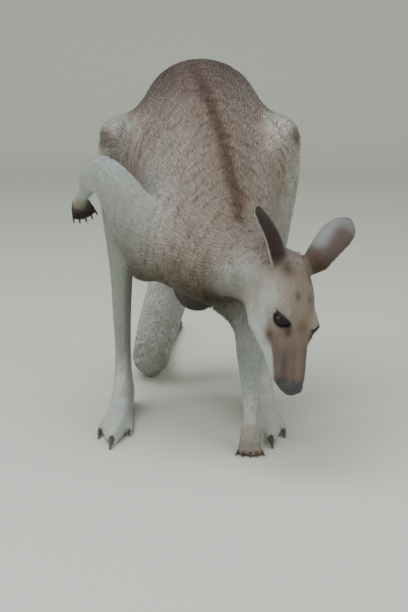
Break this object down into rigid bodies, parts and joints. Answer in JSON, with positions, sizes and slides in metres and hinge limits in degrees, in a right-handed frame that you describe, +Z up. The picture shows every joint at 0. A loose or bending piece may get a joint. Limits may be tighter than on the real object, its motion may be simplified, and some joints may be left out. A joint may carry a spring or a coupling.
{
  "type": "eastern grey kangaroo",
  "caption": "Life-size still model of a grazing grey kangaroo, standing on its hind feet, tail and one hand, with the other arm lifted.",
  "frame": {"origin": "on the floor, under the middle of the whole animal's box", "axes": "+Z up, -Y the way the animal faces, so the tail lies towards +Y, +X its own left side"},
  "size_m": [0.4466, 1.1648, 0.604],
  "materials": {
    "coat_grey": "short dense fur, grey-brown, matt",
    "coat_pale": "short smooth fur, pale grey, matt",
    "coat_dark": "short fur, dark brown, matt",
    "coat_brown": "short fur, reddish brown, matt",
    "nose_skin": "bare fine-grained skin, dark grey, slightly moist",
    "claw_horn": "smooth horn, black-brown, satin",
    "eye_wet": "wet, dark brown, mirror smooth"
  },
  "bodies": {
    "root": {"comb_claw_a_left": "claw_horn", "comb_claw_a_right": "claw_horn", "comb_claw_b_left": "claw_horn", "comb_claw_b_right": "claw_horn", "ear_left": "coat_brown", "ear_right": "coat_brown", "eye_left": "eye_wet", "eye_right": "eye_wet", "finger_claw_1_left": "claw_horn", "finger_claw_1_right": "claw_horn", "finger_claw_2_left": "claw_horn", "finger_claw_2_right": "claw_horn", "finger_claw_3_left": "claw_horn", "finger_claw_3_right": "claw_horn", "finger_claw_4_left": "claw_horn", "finger_claw_4_right": "claw_horn", "finger_claw_5_left": "claw_horn", "finger_claw_5_right": "claw_horn", "foot_left": "coat_pale", "foot_right": "coat_pale", "forearm_left": "coat_pale", "forearm_right": "coat_pale", "great_claw_left": "claw_horn", "great_claw_right": "claw_horn", "hand_left": "coat_pale", "hand_right": "coat_dark", "head": "coat_brown", "lower_jaw": "coat_pale", "neck": "coat_grey", "nose": "nose_skin", "outer_claw_left": "claw_horn", "outer_claw_right": "claw_horn", "pouch": "coat_brown", "shank_left": "coat_pale", "shank_right": "coat_pale", "tail_base": "coat_grey", "tail_middle": "coat_grey", "tail_tip": "coat_dark", "thigh_left": "coat_grey", "thigh_right": "coat_grey", "trunk": "coat_grey", "upper_arm_left": "coat_pale", "upper_arm_right": "coat_pale"}
  },
  "joints": []
}
